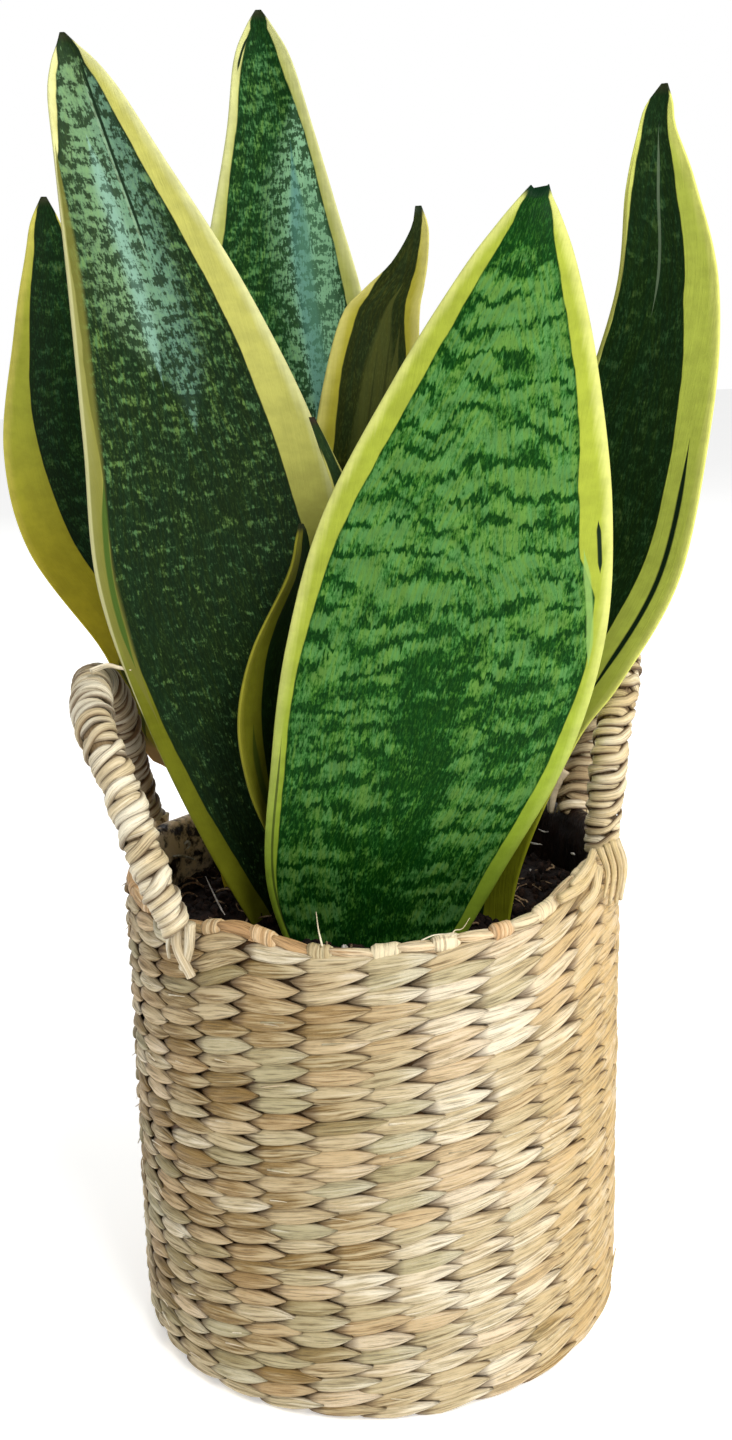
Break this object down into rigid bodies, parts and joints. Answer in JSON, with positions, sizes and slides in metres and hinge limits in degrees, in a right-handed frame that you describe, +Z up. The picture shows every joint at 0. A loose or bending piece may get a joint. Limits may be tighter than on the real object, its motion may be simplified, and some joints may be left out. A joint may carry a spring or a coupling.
{
  "type": "potted snake plant",
  "caption": "Potted snake plant: broad pointed banded leaves stand in soil in a round lined basket of woven seagrass with wrapped rope handles.",
  "frame": {"origin": "centre of the basket's flat underside", "axes": "+Z up along the basket, -Y towards the broad front leaf, the handles stand at -X and +X"},
  "size_m": [0.2019, 0.1502, 0.389],
  "materials": {
    "seagrass": "matte, twined seagrass",
    "seagrass_border": "matte, plaited seagrass",
    "core_rope": "matte",
    "twisted_cord": "matte, two-ply twisted cord",
    "tie_strands": "matte, loose strands",
    "dark_film": "glossy, wrinkled",
    "potting_mix": "matte, crumbly",
    "leaf_front": "satin, banded, yellow-green margins",
    "leaf_left_broad": "satin, mottled, pale yellow margins",
    "leaf_back": "satin, mottled, pale margins",
    "leaf_left_far": "satin, mottled, yellow margins",
    "leaf_middle": "satin, pale yellow margins",
    "leaf_right": "satin, bright yellow-green margin",
    "leaf_inner": "satin, yellow-olive margin",
    "leaf_young": "satin, dark tip"
  },
  "bodies": {
    "root": {"basket": "seagrass", "basket_border": "seagrass_border", "handle_core_left": "core_rope", "handle_core_right": "core_rope", "handle_wrap_left": "twisted_cord", "handle_wrap_right": "twisted_cord", "handle_tie_left_front": "tie_strands", "handle_tie_left_back": "tie_strands", "handle_tie_right_front": "tie_strands", "handle_tie_right_back": "tie_strands", "plastic_liner": "dark_film", "potting_soil": "potting_mix", "leaf_front": "leaf_front", "leaf_left_broad": "leaf_left_broad", "leaf_back": "leaf_back", "leaf_left_far": "leaf_left_far", "leaf_middle": "leaf_middle", "leaf_right": "leaf_right", "leaf_inner": "leaf_inner", "leaf_young": "leaf_young"}
  },
  "joints": []
}
